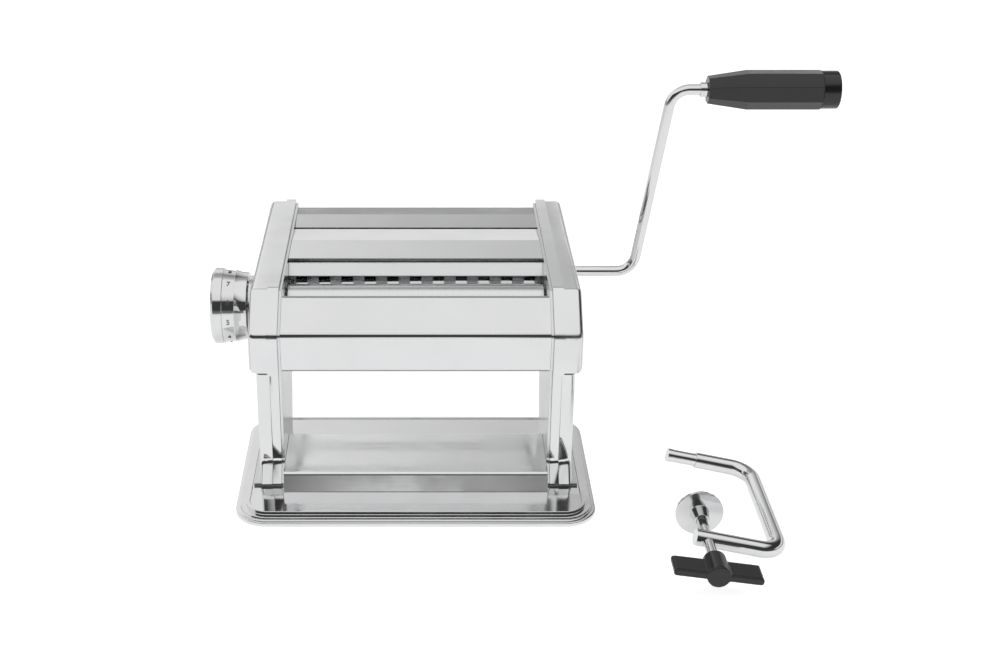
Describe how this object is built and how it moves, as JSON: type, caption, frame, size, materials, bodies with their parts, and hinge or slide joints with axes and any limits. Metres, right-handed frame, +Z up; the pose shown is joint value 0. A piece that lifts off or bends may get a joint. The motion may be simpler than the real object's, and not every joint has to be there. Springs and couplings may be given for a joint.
{
  "type": "hand cranked pasta roller",
  "caption": "Table-top pasta sheet roller and noodle cutter with a thickness knob, a pull-out crank handle and a loose table clamp.",
  "frame": {"origin": "middle of the base's footprint, on the table it stands on", "axes": "+X to the crank's side, +Y to the machine's back, +Z up"},
  "size_m": [0.3753, 0.2841, 0.2176],
  "materials": {
    "polished_steel": "mirror polished and chromed sheet and bar",
    "bright_steel": "bright rolled steel",
    "ground_steel": "fine ground rollers",
    "gear_steel": "lightly oiled steel gears",
    "bush_plastic": "self-lubricating plastic bushes",
    "black_plastic": "glossy black moulding",
    "rubber": "matte anti-slip rubber"
  },
  "bodies": {
    "frame": {"base_plate": "polished_steel", "base_sole": "rubber", "bridge": "polished_steel", "clamp_socket": "bright_steel", "left_side_plate": "bright_steel", "right_side_plate": "bright_steel", "left_leg": "polished_steel", "right_leg": "polished_steel", "left_side_cover": "polished_steel", "right_side_cover": "polished_steel", "front_cover": "polished_steel", "top_cover": "polished_steel", "feed_guide": "bright_steel", "rear_cover": "polished_steel", "front_scraper": "bright_steel", "back_scraper": "bright_steel", "tie_rods": "bright_steel", "tie_nuts": "bright_steel", "back_roller_bushes": "bush_plastic", "cutter_bushes": "bush_plastic", "crank_bush": "bush_plastic", "front_comb": "bright_steel", "rear_comb": "bright_steel", "dial_plate": "bright_steel", "idler_pin": "bright_steel", "base_screws": "bright_steel", "cover_screws": "bright_steel"},
    "drive_shaft": {"front_cutter": "ground_steel", "front_cutter_gear": "gear_steel"},
    "back_roller": {"back_roller": "ground_steel", "back_roller_gear": "gear_steel"},
    "roller_carriers": {"roller_carriers": "bush_plastic"},
    "front_roller": {"front_roller": "ground_steel", "front_roller_gear": "gear_steel"},
    "idler": {"idler_gear": "gear_steel"},
    "rear_cutter": {"rear_cutter": "ground_steel", "rear_cutter_gear": "gear_steel"},
    "regulator": {"regulator_shaft": "bright_steel", "knob_spring": "bright_steel"},
    "knob": {"knob": "polished_steel", "knob_cap": "polished_steel", "detent_pin": "bright_steel"},
    "crank": {"crank_rod": "polished_steel", "crank_collar": "polished_steel", "grip_retainer": "bright_steel"},
    "grip": {"handle_grip": "black_plastic", "grip_end_cap": "black_plastic"},
    "clamp": {"clamp_frame": "polished_steel"},
    "clamp_pad": {"clamp_pad": "polished_steel"},
    "clamp_screw": {"clamp_screw": "polished_steel", "clamp_wing": "black_plastic"}
  },
  "joints": [
    {"name": "crank_turn", "type": "hinge", "parent": "frame", "child": "drive_shaft", "pos_m": [0, 0.09997, 0.08797], "axis": [1, 0, 0], "continuous": true},
    {"name": "idler_turn", "type": "hinge", "parent": "frame", "child": "idler", "pos_m": [0, 0.08302, 0.09024], "axis": [1, 0, 0], "continuous": true},
    {"name": "back_roller_turn", "type": "hinge", "parent": "frame", "child": "back_roller", "pos_m": [0, 0.0623, 0.093], "axis": [1, 0, 0], "continuous": true},
    {"name": "roller_shift", "type": "slide", "parent": "frame", "child": "roller_carriers", "axis": [0, 1, 0], "range_m": [0, 0.0022]},
    {"name": "front_roller_turn", "type": "hinge", "parent": "roller_carriers", "child": "front_roller", "pos_m": [0, 0.0335, 0.093], "axis": [1, 0, 0], "continuous": true},
    {"name": "rear_cutter_turn", "type": "hinge", "parent": "frame", "child": "rear_cutter", "pos_m": [0, 0.11897, 0.08797], "axis": [1, 0, 0], "continuous": true},
    {"name": "knob_turn", "type": "hinge", "parent": "frame", "child": "regulator", "pos_m": [0, 0.0346, 0.093], "axis": [-1, 0, 0], "range_deg": [0, 288]},
    {"name": "knob_pull", "type": "slide", "parent": "regulator", "child": "knob", "axis": [-1, 0, 0], "range_m": [0, 0.006], "stiffness_N_per_m": 600, "springref_m": -0.003, "deforming": ["knob_spring"]},
    {"name": "crank_pull", "type": "slide", "parent": "drive_shaft", "child": "crank", "axis": [1, 0, 0], "range_m": [0, 0.03]},
    {"name": "grip_spin", "type": "hinge", "parent": "crank", "child": "grip", "pos_m": [0.2, 0.09997, 0.20617], "axis": [1, 0, 0], "continuous": true},
    {"name": "clamp_lift", "type": "slide", "parent": "frame", "child": "clamp", "axis": [0, 0, 1], "range_m": [0, 0.06]},
    {"name": "clamp_screw_travel", "type": "slide", "parent": "clamp", "child": "clamp_pad", "axis": [0, 1, 0], "range_m": [-0.01, 0.012]},
    {"name": "clamp_screw_turn", "type": "hinge", "parent": "clamp_pad", "child": "clamp_screw", "pos_m": [0.1575, -0.1005, 0.01346], "axis": [0, 1, 0], "range_deg": [-1800, 2160]}
  ],
  "couplings": [
    {"joint": "idler_turn", "follows": "crank_turn", "ratio": -1.25},
    {"joint": "back_roller_turn", "follows": "crank_turn", "ratio": 0.71429},
    {"joint": "front_roller_turn", "follows": "crank_turn", "ratio": -0.71429},
    {"joint": "rear_cutter_turn", "follows": "crank_turn", "ratio": -1},
    {"joint": "knob_turn", "follows": "roller_shift", "rad_per_m": 2284.8},
    {"joint": "clamp_screw_turn", "follows": "clamp_screw_travel", "rad_per_m": 3141.6}
  ]
}
